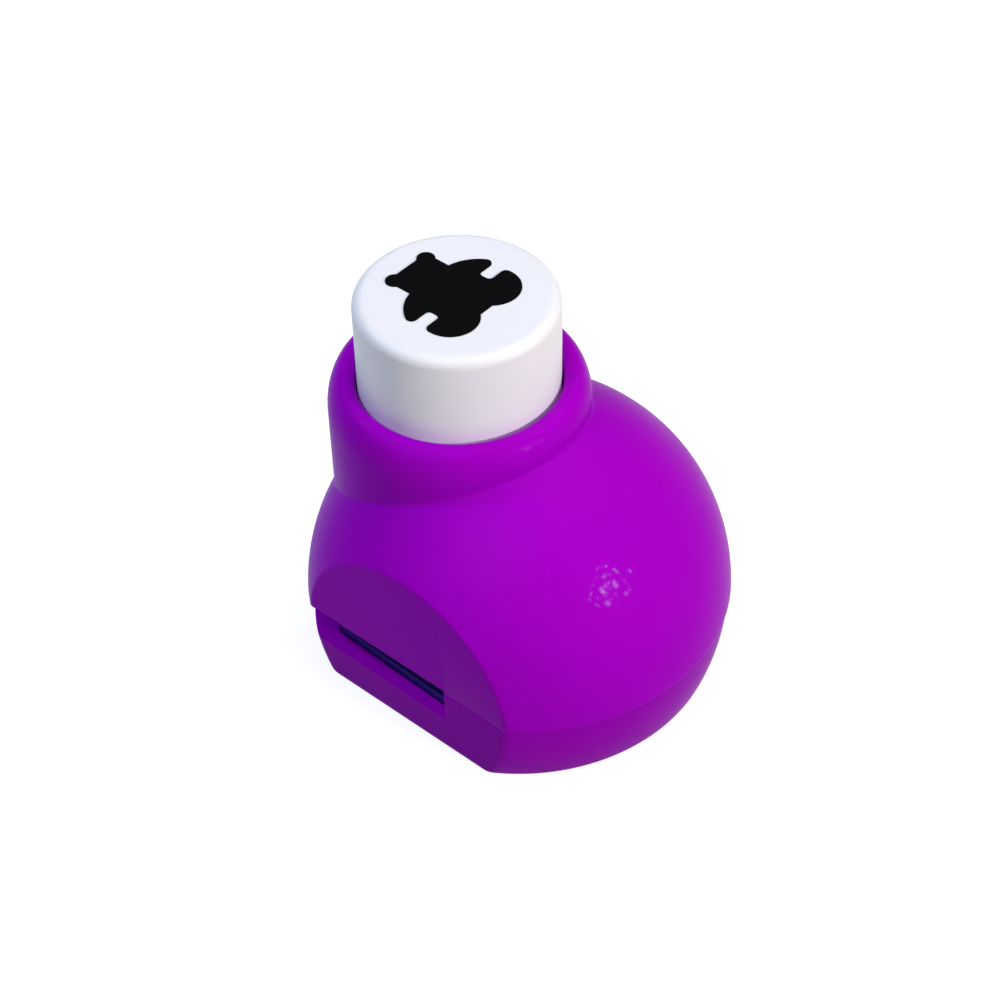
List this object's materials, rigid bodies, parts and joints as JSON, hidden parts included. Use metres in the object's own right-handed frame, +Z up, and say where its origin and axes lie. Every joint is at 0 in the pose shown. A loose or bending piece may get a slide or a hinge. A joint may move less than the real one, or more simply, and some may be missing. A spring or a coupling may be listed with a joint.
{
  "type": "craft punch",
  "caption": "Ball-shaped hand punch with side flats, an open paper throat round the nose and a sprung round button that cuts a small bear.",
  "frame": {"origin": "on the surface that the punch stands on, under the centre of the ball", "axes": "+Z up along the button's travel, -X towards the nose where the paper goes in, +Y square to the side flats"},
  "size_m": [0.04, 0.032, 0.0376],
  "materials": {
    "shell_plastic": "moulded violet plastic with a fine spark-eroded satin",
    "base_plastic": "moulded violet plastic with a fine satin",
    "button_plastic": "moulded white plastic, satin",
    "print_ink": "black pad-printed ink",
    "cast_zinc": "die-cast zinc, as cast",
    "ground_steel": "ground steel sheet",
    "blackened_steel": "blackened steel sheet",
    "spacer_steel": "cut steel bar",
    "plated_rivet": "zinc-plated steel",
    "plated_screw": "zinc-plated steel",
    "spring_wire": "drawn spring wire"
  },
  "bodies": {
    "housing": {"upper_shell": "shell_plastic", "base_cover": "base_plastic", "guide_plate": "ground_steel", "die_plate": "blackened_steel", "throat_spacer": "spacer_steel", "die_rivet_1": "plated_rivet", "die_rivet_2": "plated_rivet", "cover_screw_1": "plated_screw", "cover_screw_2": "plated_screw", "cover_screw_3": "plated_screw", "return_spring": "spring_wire"},
    "plunger": {"press_button": "button_plastic", "button_print": "print_ink", "punch": "cast_zinc"}
  },
  "joints": [
    {"name": "button_press", "type": "slide", "parent": "housing", "child": "plunger", "axis": [0, 0, -1], "range_m": [0, 0.0055], "stiffness_N_per_m": 600, "springref_m": -0.004, "deforming": ["return_spring"]}
  ]
}
